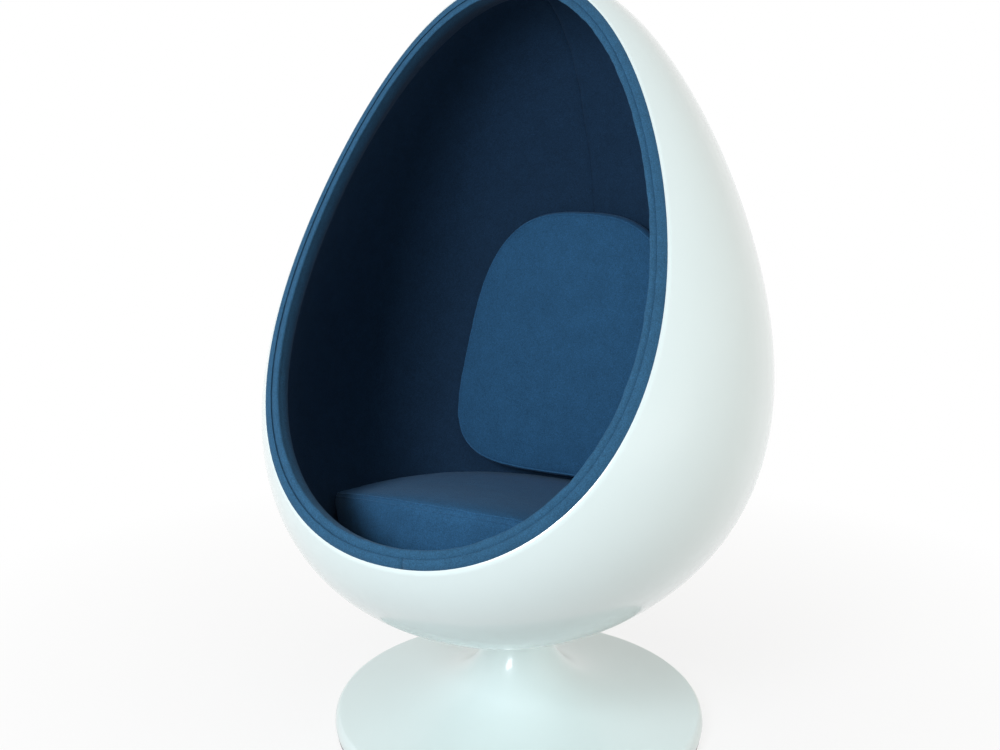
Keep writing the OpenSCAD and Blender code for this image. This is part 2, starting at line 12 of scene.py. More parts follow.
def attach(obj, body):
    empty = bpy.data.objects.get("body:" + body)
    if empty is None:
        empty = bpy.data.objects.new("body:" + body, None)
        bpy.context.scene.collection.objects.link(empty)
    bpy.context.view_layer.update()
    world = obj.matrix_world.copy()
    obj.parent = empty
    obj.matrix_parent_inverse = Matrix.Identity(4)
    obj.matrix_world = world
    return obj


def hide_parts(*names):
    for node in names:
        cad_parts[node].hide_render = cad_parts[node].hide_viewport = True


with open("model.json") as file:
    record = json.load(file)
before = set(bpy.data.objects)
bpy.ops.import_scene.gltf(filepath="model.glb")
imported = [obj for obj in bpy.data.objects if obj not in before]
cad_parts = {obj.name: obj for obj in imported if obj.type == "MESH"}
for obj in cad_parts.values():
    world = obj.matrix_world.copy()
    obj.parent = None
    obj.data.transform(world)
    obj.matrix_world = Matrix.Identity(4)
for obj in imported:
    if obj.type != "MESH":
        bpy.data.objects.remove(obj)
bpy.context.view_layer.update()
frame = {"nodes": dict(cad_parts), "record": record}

# Sizes of the frame, in metres, as the CAD source has them in millimetres
POD_WIDE = 0.86
POD_LONG = 1.12
POD_LEAN = math.radians(4)
POD_BACK = 0.005
BOSS_Z = 0.189
BOSS_SHOW = 0.00736
BOSS_TALL = 0.033
POD_Z = BOSS_Z + BOSS_SHOW + POD_LONG / 2 * math.cos(POD_LEAN)
SHELL = 0.006
OPENING_LEAN = math.radians(27)
OPENING_OUT = 0.2275
OPENING_BOW = 3.125
TRIM_DEEP = 0.0075
LINING_IN = 0.030
# Section of the roll, inset and offset: from the groove over the crest down to the lining, and back under it
ROLL = [(0.0065, -0.0070), (0.0065, -0.0035), (0.0080, -0.0006), (0.0110, 0.0010), (0.0150, -0.0010),
        (0.0200, -0.0080), (0.0260, -0.0158), (0.0320, -0.0245), (0.0368, -0.0335), (0.0395, -0.0440),
        (0.0395, -0.0560), (0.0370, -0.0700), (0.0330, -0.0840), (0.0307, -0.0890), (0.0305, -0.0840),
        (0.0305, -0.0520), (0.0306, -0.0425), (0.0275, -0.0395), (0.0200, -0.0250), (0.0110, -0.0130)]
HUB_R = 0.060
HUB_UNDER = 0.3

SWELL = -0.26
TIP = 0.07
BACK_DEPTH, BACK_GROW = 0.9, 0.1
FRONT_DEPTH, FRONT_GROW, FRONT_SWELL = 0.88, -0.4, 0.04
EGG_SQUARE = 2.14

SEAT_Z = 0.329
SEAT_TILT = math.radians(10.7)
SEAT_THICK = 0.105
SEAT_FRONT = 0.31
SEAT_BOW = 0.17
SEAT_MID = -0.04
SEAT_GAP = 0.0024
SEAT_DOME = 0.005
SEAT_PLUMP, PLUMP_FROM, PLUMP_OVER = 0.009, 0.07, 0.22
DROP_FRONT, DROP_BACK, DROP_HALF, DROP_POWER = 0.035, 0.019, 0.311, 2.2
DECK_THICK = 0.012
DECK_GAP = 0.003

BACK_WIDE = 0.452
BACK_TALL = 0.514
BACK_THICK = 0.058
BACK_CROWN = 0.016
BACK_LEAN = math.radians(10)
BACK_FOOT = 0.155
BACK_REST_GAP = 0.002
BACK_LOW_SQUARE, BACK_TOP_SQUARE, BACK_TAPER = 4, 3, 0.17

NECK_R = 0.048
NECK_Z = 0.186
LIP_R = 0.325
FOOT_R = 0.335
LIP_Z = 0.033
LIP_MID = 0.015
PAD = 0.003
FOOT_WALL = 0.004


# ---- Forms of the egg and its opening ----

def signed_power(x, k):
    return np.sign(x) * np.abs(x) ** k


def bulge(c):
    return np.sqrt(np.clip(1 - c * c, 0, None)) * (1 + SWELL * c + TIP * c ** 3)


EGG_PEAK = bulge(np.linspace(-1, 1, 201)).max()


def depth_of(side, c):
    """Depth of the egg over its width, behind or in front of its axis."""
    return np.where(side > 0, BACK_DEPTH * (1 + BACK_GROW * c),
                    FRONT_DEPTH * (1 + FRONT_GROW * c + FRONT_SWELL * c * c))


def egg(directions, inset):
    """Points of the egg drawn in by inset, in these directions."""
    c = directions[:, 2]
    around = np.arctan2(directions[:, 1], directions[:, 0])
    across = signed_power(np.cos(around), 2 / EGG_SQUARE)
    deep = signed_power(np.sin(around), 2 / EGG_SQUARE)
    radius = (POD_WIDE / 2 - inset) * bulge(c) / EGG_PEAK
    y = radius * deep * depth_of(deep, c)
    z = (POD_LONG / 2 - inset) * c
    lean_c, lean_s = math.cos(POD_LEAN), math.sin(POD_LEAN)
    return np.column_stack([radius * across, y * lean_c + z * lean_s + POD_BACK,
                            -y * lean_s + z * lean_c + POD_Z])


def egg_side(p, inset):
    """Below 0 where a point lies inside the egg drawn in by inset."""
    y, z = p[:, 1] - POD_BACK, p[:, 2] - POD_Z
    lean_c, lean_s = math.cos(POD_LEAN), math.sin(POD_LEAN)
    y, z = y * lean_c - z * lean_s, y * lean_s + z * lean_c
    c = z / (POD_LONG / 2 - inset)
    safe = np.clip(c, -0.999999, 0.999999)
    reach = (np.abs(p[:, 0]) ** EGG_SQUARE
             + np.abs(y / depth_of(y, safe)) ** EGG_SQUARE) ** (1 / EGG_SQUARE)
    side = reach - (POD_WIDE / 2 - inset) * bulge(safe) / EGG_PEAK
    return np.where(np.abs(c) >= 1, POD_WIDE, side)


def pole_directions(a, v):
    """Directions about the opening's axis: a from its back pole, v round it from the top."""
    s, c = math.sin(OPENING_LEAN), math.cos(OPENING_LEAN)
    return np.column_stack([np.sin(v) * np.sin(a), c * np.cos(a) + s * np.cos(v) * np.sin(a),
                            -s * np.cos(a) + c * np.cos(v) * np.sin(a)])


def before_opening(p):
    """Distance of points in front of the bowed surface of the opening."""
    y, z = p[:, 1] - POD_BACK, p[:, 2] - POD_Z
    s, c = math.sin(OPENING_LEAN), math.cos(OPENING_LEAN)
    w = y * s + z * c
    return z * s - y * c - OPENING_OUT - w * w / (2 * OPENING_BOW)


def halve(test, low, high, steps=30):
    """Place between low and high where test turns true, for whole arrays."""
    for _ in range(steps):
        middle = (low + high) / 2
        beyond = test(middle)
        low, high = np.where(beyond, low, middle), np.where(beyond, middle, high)
    return (low + high) / 2


def rim_angles(v, inset, off):
    return halve(lambda a: before_opening(egg(pole_directions(a, v), inset)) > off,
                 np.full(v.shape, math.radians(40)), np.full(v.shape, math.radians(170)))


def rim(v, inset, off):
    """Points round the opening, inset from the shell's outside and off in front of the opening."""
    return egg(pole_directions(rim_angles(v, inset, off), v), inset)


def ripple(x, length, seed):
    """Gentle irregular wave of about one unit along x, the same on every run."""
    k = 2 * math.pi / length
    return (np.sin(k * x + seed) + 0.6 * np.sin(1.73 * k * x + 2.1 * seed)
            + 0.4 * np.sin(2.9 * k * x + 4.7 * seed)) / 2


# ---- Mesh tools ----

def spots(bm):
    return np.array([v.co for v in bm.verts], float).reshape(-1, 3)


def move_to(bm, places):
    for vert, place in zip(bm.verts, places):
        vert.co = place


def face_out(bm, centre):
    """Turns an open skin so that its faces look away from centre."""
    bm.normal_update()
    look = sum((f.calc_center_median() - Vector(centre)).dot(f.normal) * f.calc_area() for f in bm.faces)
    if look < 0:
        bmesh.ops.reverse_faces(bm, faces=bm.faces[:])


def placed(name, data):
    """A new object of this data, in the scene."""
    thing = bpy.data.objects.new(name, data)
    bpy.context.scene.collection.objects.link(thing)
    return thing


def mesh_of(bm, name):
    mesh = bpy.data.meshes.new(name)
    bm.to_mesh(mesh)
    bm.free()
    return mesh


def covered(mesh, material):
    """Gives a mesh one material and smooth shading."""
    mesh.materials.clear()
    mesh.materials.append(material)
    mesh.polygons.foreach_set("use_smooth", [True] * len(mesh.polygons))


def eased(bm, edges, offset, segments):
    bmesh.ops.bevel(bm, geom=edges, offset=offset, offset_type="OFFSET", segments=segments, profile=0.5,
                    affect="EDGES", material=-1, clamp_overlap=True)


def piece_from(bm, name, body, material, stands_for):
    """Finished piece from a bmesh, riding on its body and standing for its CAD nodes."""
    mesh = mesh_of(bm, name)
    covered(mesh, material)
    piece = placed(name, mesh)
    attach(piece, body)
    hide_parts(*stands_for)
    return piece


def spun(section, turn_from, turn_to, steps):
    """A closed section of (radius, height) pairs turned about the Z axis."""
    bm = bmesh.new()
    loop = [bm.verts.new((r * math.cos(turn_from), r * math.sin(turn_from), z)) for r, z in section]
    edges = [bm.edges.new((loop[i - 1], loop[i])) for i in range(len(loop))]
    whole = abs(turn_to - turn_from - 2 * math.pi) < 1e-6
    bmesh.ops.spin(bm, geom=loop + edges, cent=(0, 0, 0), axis=(0, 0, 1), angle=turn_to - turn_from,
                   steps=steps, use_merge=whole, use_duplicate=False)
    if not whole:
        bmesh.ops.holes_fill(bm, edges=[e for e in bm.edges if e.is_boundary], sides=0)
    bmesh.ops.recalc_face_normals(bm, faces=bm.faces[:])
    return bm


def bowl(columns, rows, inset, off, fold=()):
    """Skin of the egg from its back pole to the opening, from half a ball, and the rings of a fold after it."""
    bm = bmesh.new()
    bmesh.ops.create_uvsphere(bm, u_segments=columns, v_segments=2 * rows, radius=1)
    bmesh.ops.delete(bm, geom=[v for v in bm.verts if v.co.z < -1e-4], context="VERTS")
    edge = [e for e in bm.edges if e.is_boundary]
    for _ in fold:
        grown = bmesh.ops.extrude_edge_only(bm, edges=edge)["geom"]
        bmesh.ops.translate(bm, verts=[g for g in grown if isinstance(g, bmesh.types.BMVert)], vec=(0, 0, -1))
        edge = [g for g in grown if isinstance(g, bmesh.types.BMEdge) and g.is_boundary]
    p = spots(bm)
    turn = np.arctan2(p[:, 0], p[:, 1])
    share = np.arccos(np.clip(p[:, 2], 0, 1)) / (math.pi / 2)
    places = egg(pole_directions(share * rim_angles(turn, inset, off), turn), inset)
    for ring, (u, s) in enumerate(fold, 1):
        on = np.rint(-p[:, 2]) == ring
        places[on] = rim(turn[on], u, s)
    move_to(bm, places)
    face_out(bm, (0, 0, POD_Z))
    return bm


def rounded(corners, steps):
    """A polygon's corners (x, y, radius) rounded off, as (x, y) pairs."""
    out = []
    n = len(corners)
    for i, corner in enumerate(corners):
        own = corner[2]
        here = np.array(corner[:2], float)
        before = np.array(corners[i - 1][:2], float) - here
        after = np.array(corners[(i + 1) % n][:2], float) - here
        a, b = before / np.linalg.norm(before), after / np.linalg.norm(after)
        half = math.acos(np.clip(a @ b, -1, 1)) / 2
        back = own / math.tan(half)
        middle = here + (a + b) / np.linalg.norm(a + b) * own / math.sin(half)
        start, end = here + a * back - middle, here + b * back - middle
        for k in range(steps + 1):
            t = k / steps
            w = start * (1 - t) + end * t
            out.append(tuple(middle + w / np.linalg.norm(w) * own))
    return out


# ---- Materials ----

class Finish:
    """One procedural material on Object coordinates."""

    def __init__(self, name):
        self.material = bpy.data.materials.new(name)
        self.material.use_nodes = True
        self.tree = self.material.node_tree
        self.shader = self.tree.nodes["Principled BSDF"]
        self.place = self.tree.nodes.new("ShaderNodeTexCoord").outputs["Object"]

    def join(self, a, b):
        self.tree.links.new(a, b)

    def stretch(self, scale, turn=(0, 0, 0)):
        node = self.tree.nodes.new("ShaderNodeMapping")
        node.inputs["Scale"].default_value = scale
        node.inputs["Rotation"].default_value = turn
        self.join(self.place, node.inputs["Vector"])
        return node.outputs[0]

    def noise(self, scale, detail=2.0, rough=0.5, place=None, warp=0.0):
        node = self.tree.nodes.new("ShaderNodeTexNoise")
        node.inputs["Scale"].default_value = scale
        node.inputs["Detail"].default_value = detail
        node.inputs["Roughness"].default_value = rough
        node.inputs["Distortion"].default_value = warp
        self.join(place or self.place, node.inputs["Vector"])
        return node.outputs[0]

    def cells(self, scale):
        node = self.tree.nodes.new("ShaderNodeTexVoronoi")
        node.inputs["Scale"].default_value = scale
        self.join(self.place, node.inputs["Vector"])
        return node.outputs[0]

    def ramp(self, value, *stops):
        """Colours or levels at places from 0 to 1."""
        node = self.tree.nodes.new("ShaderNodeValToRGB")
        ramp = node.color_ramp
        while len(ramp.elements) < len(stops):
            ramp.elements.new(0.5)
        for element, (at, colour) in zip(ramp.elements, stops):
            element.position = at
            element.color = (*colour, 1) if isinstance(colour, tuple) else (colour, colour, colour, 1)
        self.join(value, node.inputs[0])
        return node.outputs[0]

    def mix(self, share, a, b, way="MIX"):
        node = self.tree.nodes.new("ShaderNodeMix")
        node.data_type = "RGBA"
        node.blend_type = way
        for socket, value in ((node.inputs[0], share), (node.inputs[6], a), (node.inputs[7], b)):
            if isinstance(value, bpy.types.NodeSocket):
                self.join(value, socket)
            elif isinstance(value, tuple):
                socket.default_value = (*value, 1)
            else:
                socket.default_value = value
        return node.outputs[2]

    def maths(self, way, a, b):
        node = self.tree.nodes.new("ShaderNodeMath")
        node.operation = way
        for socket, value in ((node.inputs[0], a), (node.inputs[1], b)):
            if isinstance(value, bpy.types.NodeSocket):
                self.join(value, socket)
            else:
                socket.default_value = value
        return node.outputs[0]

    def attribute(self, name):
        node = self.tree.nodes.new("ShaderNodeAttribute")
        node.attribute_name = name
        return node.outputs["Fac"]

    def bump(self, height, distance, strength=1.0, under=None):
        node = self.tree.nodes.new("ShaderNodeBump")
        node.inputs["Strength"].default_value = strength
        node.inputs["Distance"].default_value = distance
        self.join(height, node.inputs["Height"])
        if under:
            self.join(under, node.inputs["Normal"])
        return node.outputs[0]

    def set(self, **values):
        """Sockets of the shader, by their names with _ for spaces."""
        for name, value in values.items():
            socket = self.shader.inputs[name.replace("_", " ")]
            if isinstance(value, bpy.types.NodeSocket):
                self.join(value, socket)
            elif isinstance(value, tuple):
                socket.default_value = (*value, 1) if len(value) == 3 else value
            else:
                socket.default_value = value
        return self.material


def scaled(colour, k):
    return tuple(min(1.0, c * k) for c in colour)


def wool(name, colour, fuzz, deep=None):
    """Felted wool cloth: two-tone fibres, soft clouds of shade, a short nap and loose hairs.
    Where the shade attribute rises to 1, the colour is darkened over to deep: painted shade."""
    f = Finish(name)
    fibres = f.noise(620, 3, 0.65, warp=0.4)
    streaks = f.noise(300, 2, 0.6, place=f.stretch((1, 0.8, 0.6), (0.5, 0.3, 0.2)), warp=1.5)
    clouds = f.noise(30, 4, 0.6)
    two_tone = f.mix(f.ramp(fibres, (0.32, 0.0), (0.68, 1.0)), scaled(colour, 0.68), scaled(colour, 1.34))
    hairs = f.mix(f.ramp(streaks, (0.35, 0.0), (0.7, 1.0)), (0.88, 0.88, 0.88), (1.1, 1.1, 1.1))
    shade = f.mix(f.ramp(clouds, (0.3, 0.0), (0.7, 1.0)), (0.92, 0.92, 0.92), (1.07, 1.07, 1.07))
    tint = f.mix(1.0, f.mix(1.0, two_tone, hairs, "MULTIPLY"), shade, "MULTIPLY")
    # Painted shade: the colour is darkened towards deep by the vertex attribute.
    if deep:
        painted_shade_ratio = tuple(d / c for d, c in zip(deep, colour))
        tint = f.mix(f.attribute("painted_shade"), tint, f.mix(1.0, tint, painted_shade_ratio, "MULTIPLY"))
    nap = f.maths("ADD", f.noise(900, 3, 0.7), f.maths("MULTIPLY", streaks, 0.6))
    pills = f.bump(f.noise(120, 2, 0.5), 0.0006, 0.5)
    normal = f.bump(nap, 0.0005, 0.7, under=pills)
    return f.set(Base_Color=tint, Roughness=f.ramp(fibres, (0.0, 0.78), (1.0, 0.96)),
                 Specular_IOR_Level=0.18, Sheen_Weight=fuzz, Sheen_Roughness=0.5,
                 Sheen_Tint=(0.55, 0.75, 1.0), Normal=normal)


def gloss(name, colour, rough, coat):
    """Polished gel coat: faint clouds in the white, a hardly visible orange peel, fine polishing haze."""
    f = Finish(name)
    clouds = f.noise(3.2, 3, 0.5)
    tint = f.mix(f.ramp(clouds, (0.3, 0.0), (0.7, 1.0)), scaled(colour, 0.985), scaled(colour, 1.01))
    haze = f.noise(5, 3, 0.5)
    peel = f.bump(f.noise(34, 1, 0.3), 0.00012, 0.25)
    return f.set(Base_Color=tint, Roughness=f.ramp(haze, (0.2, rough * 0.93), (0.8, rough * 1.07)),
                 Specular_IOR_Level=0.5, Coat_Weight=coat, Coat_Roughness=0.06, Normal=peel)


def metal(name, colour, rough, grain=(1, 1, 1), metallic=1.0, pits=0.00008):
    """Turned, plated, cast or painted metal: grain, dull patches and small pits."""
    f = Finish(name)
    brushed = f.noise(240, 3, 0.6, place=f.stretch(grain))
    patches = f.noise(34, 3, 0.6)
    tint = f.mix(f.ramp(patches, (0.3, 0.0), (0.75, 1.0)), scaled(colour, 0.82), scaled(colour, 1.08))
    dull = f.ramp(f.maths("ADD", f.maths("MULTIPLY", brushed, 0.5), f.maths("MULTIPLY", patches, 0.5)),
                  (0.3, rough * 0.8), (0.7, min(1.0, rough * 1.3)))
    return f.set(Base_Color=tint, Metallic=metallic, Roughness=dull, Normal=f.bump(brushed, pits, 0.6))


BLUE = (0.027, 0.109, 0.228)
# The next colour is the cushions' blue felt darkened for the shade inside the pod: painted shade on the lining,
# the deck, the lumbar block and the rim roll's inner slope.
BLUE_PAINTED_SHADE = (0.0128, 0.0407, 0.0893)
# The rim's blue is greyer than the cushions': partly for a rougher nap, partly as painted sheen at the rim's
# edges.
RIM_BLUE = (0.0285, 0.105, 0.200)
WHITE = (0.78, 0.892, 0.885)

wool_blue = wool("felted_wool_blue", BLUE, 0.08)
# Painted shade: the lining's cloth is the blue felt made darker for the shade inside the pod.
wool_blue_painted_shade = wool("felted_wool_blue_painted_shade", BLUE_PAINTED_SHADE, 0.05)
# Rim cloth, darkened towards the lining's colour where the roll turns in: painted shade.
wool_rim = wool("felted_wool_rim", RIM_BLUE, 0.1, BLUE_PAINTED_SHADE)
seam_blue = wool("seam_wool_blue", scaled(BLUE, 1.12), 0.15)
shell_white = gloss("gel_coat_white", WHITE, 0.22, 0.7)
foot_white = gloss("lacquer_white", WHITE, 0.3, 0.45)


def hook_tape():
    f = Finish("hook_and_loop_tape")
    hooks = f.cells(900)
    tint = f.mix(f.ramp(hooks, (0.1, 0.0), (0.6, 1.0)), (0.09, 0.1, 0.12), (0.025, 0.03, 0.04))
    return f.set(Base_Color=tint, Roughness=0.7, Normal=f.bump(hooks, 0.0006, 0.8))


def pressed_felt():
    f = Finish("pressed_felt_pad")
    fluff = f.noise(700, 4, 0.7)
    tint = f.mix(fluff, (0.05, 0.05, 0.055), (0.16, 0.16, 0.165))
    return f.set(Base_Color=tint, Roughness=0.95, Normal=f.bump(fluff, 0.0006, 0.8))


finishes = {
    "steel": metal("zinc_plated_steel", (0.62, 0.63, 0.65), 0.32, (1, 1, 6)),
    "black_steel": metal("black_satin_paint", (0.035, 0.036, 0.04), 0.42, metallic=0.0, pits=0.00012),
    "cast_iron": metal("raw_cast_iron", (0.16, 0.16, 0.17), 0.62, metallic=0.8, pits=0.0005),
    "brass": metal("plain_brass", (0.70, 0.52, 0.24), 0.3, (1, 1, 5)),
    "nylon": metal("natural_nylon", (0.78, 0.77, 0.72), 0.48, metallic=0.0),
    "felt_pad": pressed_felt(),
    "tape": hook_tape(),
}


# ---- Pod: shell, rim, lining ----

def shell_piece():
    bm = bowl(192, 88, 0, -TRIM_DEEP)
    edge = {v for v in bm.verts if v.is_boundary}
    free = [v for v in bm.verts if v not in edge]
    for _ in range(4):
        bmesh.ops.smooth_vert(bm, verts=free, factor=0.5, use_axis_x=True, use_axis_y=True, use_axis_z=True)
    face_out(bm, (0, 0, POD_Z))
    bmesh.ops.solidify(bm, geom=bm.faces[:], thickness=SHELL)
    bm.normal_update()
    boss = bmesh.ops.create_cone(bm, cap_ends=True, segments=96, radius1=NECK_R, radius2=NECK_R,
                                 depth=BOSS_TALL,
                                 matrix=Matrix.Translation((0, 0, BOSS_Z + BOSS_TALL / 2)))["verts"]
    corners = [e for e in {e for v in boss for e in v.link_edges} if len({round(v.co.z, 5) for v in e.verts}) == 1
               and any(len(f.verts) > 4 for f in e.link_faces)]
    eased(bm, corners, 0.0015, 3)
    return piece_from(bm, "shell_gloss", "pod", shell_white, ["egg_shell"])


TRIM_JOINT = math.radians(177.2)


def trim_piece():
    """Covered band that carries the shell on at its edge, one length butted near the bottom."""
    flat = rounded([(0, -TRIM_DEEP, 0.0003), (0, 0, 0.0026), (SHELL, 0, 0.0025), (SHELL, -TRIM_DEEP, 0.0003)], 6)
    section = []
    for i, (u, s) in enumerate(flat):
        nu, ns = flat[(i + 1) % len(flat)]
        long_side = math.hypot(nu - u, ns - s) > 0.0009
        section += [(u + (nu - u) * k / 4, s + (ns - s) * k / 4) for k in range(4 if long_side else 1)]
    full = [(1 + u - (0.00045 * math.sin(math.pi * -s / TRIM_DEEP) if u < 0.001 else 0),
             s + (0.0003 * math.sin(math.pi * u / SHELL) if s > -0.001 else 0)) for u, s in section]
    gap = math.radians(0.04)
    bm = spun(full, math.pi / 2 - TRIM_JOINT + gap, math.pi / 2 - TRIM_JOINT + 2 * math.pi - gap, 300)
    p = spots(bm)
    turn = np.pi / 2 - np.arctan2(p[:, 1], p[:, 0])
    inset = np.hypot(p[:, 0], p[:, 1]) - 1
    slack = 0.00022 * ripple(turn, 0.11, 1.3) * np.clip((p[:, 2] + TRIM_DEEP) / TRIM_DEEP, 0, 1)
    move_to(bm, rim(turn, inset, p[:, 2] + slack))
    bmesh.ops.recalc_face_normals(bm, faces=bm.faces[:])
    return piece_from(bm, "rim_band", "pod", wool_rim, ["rim_trim"])


def softened(loop, times):
    """A closed line of pairs with its corners cut again and again, so that it runs smooth."""
    line = np.array(loop)
    for _ in range(times):
        after = np.roll(line, -1, axis=0)
        line = np.stack([0.75 * line + 0.25 * after, 0.25 * line + 0.75 * after], axis=1).reshape(-1, 2)
    return line


def roll_piece():
    """Padded roll inside the trim, a little uneven under its cloth and drawn in along the groove."""
    section = softened(ROLL, 3)
    section[:, 0] += 1
    bm = spun(section.tolist(), 0, 2 * math.pi, 360)
    p = spots(bm)
    turn = np.pi / 2 - np.arctan2(p[:, 1], p[:, 0])
    inset = np.hypot(p[:, 0], p[:, 1]) - 1
    crest = np.clip((p[:, 2] + 0.022) / 0.02, 0, 1)
    lumps = 0.0003 * ripple(turn, 0.23, 0.7) + 0.00018 * ripple(turn, 0.061, 2.2) - 0.0002
    drawn = 0.00022 * ripple(turn, 0.019, 4.1) * np.exp(-((inset - 0.0075) / 0.0022) ** 2)
    move_to(bm, rim(turn, inset + 0.6 * lumps * crest * (inset > 0.012), p[:, 2] + (lumps + drawn) * crest))
    bmesh.ops.recalc_face_normals(bm, faces=bm.faces[:])
    # Painted shade: 0 on the crest, rising to 1 down the roll's inner slope, where the cloth is darkened towards
    # the lining's colour.
    painted_shade = bm.verts.layers.float.new("painted_shade")
    for v, level in zip(bm.verts, np.clip((-p[:, 2] - 0.012) / 0.030, 0, 1)):
        v[painted_shade] = level
    return piece_from(bm, "rim_roll_soft", "pod", wool_rim, ["rim_roll"])


# How the lining turns over at the roll's end and runs on under it: inset and offset of each ring
LINING_TURN = -0.0462
LINING_FOLD = [(0.02985, -0.0452), (0.0292, -0.0448), (0.0283, -0.0447), (0.0270, -0.0420), (0.0240, -0.0354),
               (0.0196, -0.0259), (0.0152, -0.0196), (0.0107, -0.0139), (0.0072, -0.0100)]
FOAM_DEEP, FOAM_EDGE = 0.0185, 0.0011
SHELL_GAP = 0.0012
SEAM_RINGS = (0.0015, 0.0035, 0.0065, 0.011, 0.017, 0.026)


def lining_piece(side):
    """Half of the lining, from the seam down the middle of the back to the rim."""
    bm = bowl(176, 84, LINING_IN, LINING_TURN, LINING_FOLD)
    bmesh.ops.bisect_plane(bm, geom=bm.verts[:] + bm.edges[:] + bm.faces[:], dist=1e-5, plane_co=(0, 0, 0),
                           plane_no=(side, 0, 0), clear_inner=True)
    for x in SEAM_RINGS:
        bmesh.ops.bisect_plane(bm, geom=bm.verts[:] + bm.edges[:] + bm.faces[:], dist=1e-5,
                               plane_co=(side * x, 0, 0), plane_no=(side, 0, 0))
    hub = [f for f in bm.faces if all(math.hypot(v.co.x, v.co.y) < HUB_R * 1.12 and v.co.z < HUB_UNDER
                                      for v in f.verts)]
    bmesh.ops.delete(bm, geom=hub, context="FACES")
    bm.normal_update()
    for v in bm.verts:
        flat = math.hypot(v.co.x, v.co.y)
        if v.is_boundary and flat < HUB_R * 1.5 and v.co.z < HUB_UNDER and abs(v.co.x) > 1e-4:
            v.co.x, v.co.y = v.co.x * HUB_R / flat, v.co.y * HUB_R / flat
    p = spots(bm)
    out = np.array([v.normal for v in bm.verts], float)
    x = np.abs(p[:, 0])
    middle = x < 1e-5
    inside = np.clip((-before_opening(p) - 0.086) / 0.02, 0, 1)
    near = np.exp(-(x / 0.0042) ** 2)
    broad = np.exp(-(x / 0.026) ** 2)
    pucker = ripple(p[:, 2] + 0.4 * p[:, 1], 0.021, 1.9) * broad * ~middle
    gentle = ripple(p[:, 2] * 1.1 + p[:, 0] * 0.7, 0.31, 0.4) + ripple(p[:, 0] * 1.3 - p[:, 2] * 0.5, 0.24, 3.1)
    height = 0.0021 * near + 0.0009 * broad - 0.0003 * pucker + 0.0004 * (1 - gentle) * (1 - broad)
    p += out * (height * inside)[:, None]
    wander = 0.0016 * ripple(p[:, 2], 0.17, 2.6) * np.exp(-(x / 0.03) ** 2)
    p[:, 0] += wander
    move_to(bm, p)
    bm.normal_update()
    out = np.array([v.normal for v in bm.verts], float)
    out[middle, 0] = 0
    deep = np.clip((-before_opening(p) - 0.046) / 0.05, 0, 1)
    foam = FOAM_EDGE + (FOAM_DEEP - FOAM_EDGE) * deep * deep * (3 - 2 * deep)
    share = halve(lambda t: egg_side(p + out * (t * foam)[:, None], SHELL + SHELL_GAP) > 0,
                  np.zeros(len(p)), np.full(len(p), 2.0))
    back = p + out * (np.minimum(share, 1) * foam)[:, None]
    number = bm.verts.layers.int.new("number")
    for i, v in enumerate(bm.verts):
        v[number] = i
    grown = bmesh.ops.solidify(bm, geom=bm.faces[:], thickness=FOAM_DEEP)["geom"]
    for v in grown:
        if isinstance(v, bmesh.types.BMVert):
            v.co = back[v[number]]
    bm.verts.layers.int.remove(number)
    bmesh.ops.recalc_face_normals(bm, faces=bm.faces[:])
    name = "left" if side < 0 else "right"
    # Its cloth is the blue felt darkened as painted shade.
    return piece_from(bm, "lining_cloth_" + name, "pod", wool_blue_painted_shade, ["lining_" + name])


# ---- Foot ----

def foot_piece():
    k = (NECK_Z - LIP_Z) / (1 / NECK_R - 1 / LIP_R)

    def flare(r):
        return LIP_Z + k * (1 / r - 1 / LIP_R)

    def inner(r):
        s = k / (r * r)
        n = math.hypot(1, s)
        return r - FOOT_WALL * s / n, flare(r) - FOOT_WALL / n

    radii = [NECK_R * (LIP_R / NECK_R) ** (i / 40) for i in range(41)]
    low = -math.asin((LIP_MID - PAD) / (LIP_Z - LIP_MID))
    low_in = -math.asin((LIP_MID - PAD) / (LIP_Z - FOOT_WALL - LIP_MID))

    def lip(a, d):
        return (LIP_R + (FOOT_R - LIP_R - d) * math.cos(a), LIP_MID + (LIP_Z - LIP_MID - d) * math.sin(a))

    outer = [(NECK_R - 0.0012, NECK_Z)] + [(NECK_R, NECK_Z - 0.0012)] + [(r, flare(r)) for r in radii[1:]]
    outer += [lip(math.radians(82) + (low - math.radians(82)) * i / 16, 0) for i in range(17)]
    within = [lip(low_in + (math.radians(70) - low_in) * i / 10, FOOT_WALL) for i in range(11)]
    within += [inner(r) for r in reversed(radii)]
    bm = spun(outer + within, 0, 2 * math.pi, 144)
    return piece_from(bm, "foot_trumpet", "base", foot_white, ["base_trumpet"])


# ---- Seat deck, cushions ----

def seat_world(x, y, z):
    c, s = math.cos(SEAT_TILT), math.sin(SEAT_TILT)
    return np.column_stack([x, y * c + z * s, -y * s + z * c + SEAT_Z])


def seat_thick(x, y):
    """Thickness of the seat cushion at its edge: plumper at the front, falling off to both sides."""
    front = np.clip((-y - PLUMP_FROM) / PLUMP_OVER, 0, 1)
    drop = DROP_BACK + (DROP_FRONT - DROP_BACK) * (SEAT_FRONT / 2 - y) / SEAT_FRONT
    return (SEAT_THICK + SEAT_PLUMP * front * front * (3 - 2 * front)
            - drop * (np.abs(x) / DROP_HALF) ** DROP_POWER)


def seat_reach(a, f, drawn):
    """How far the seat cushion goes out in the directions a, at share f of its thickness."""
    def beyond(m):
        x, y = m * np.cos(a), SEAT_MID + m * np.sin(a)
        wall = egg_side(seat_world(x, y, f * seat_thick(x, y)), LINING_IN + SEAT_GAP)
        return np.maximum(wall, SEAT_BOW * (x / DROP_HALF) ** 2 - SEAT_FRONT - y) > 0
    return halve(beyond, np.zeros(a.shape), np.full(a.shape, POD_WIDE)) - drawn


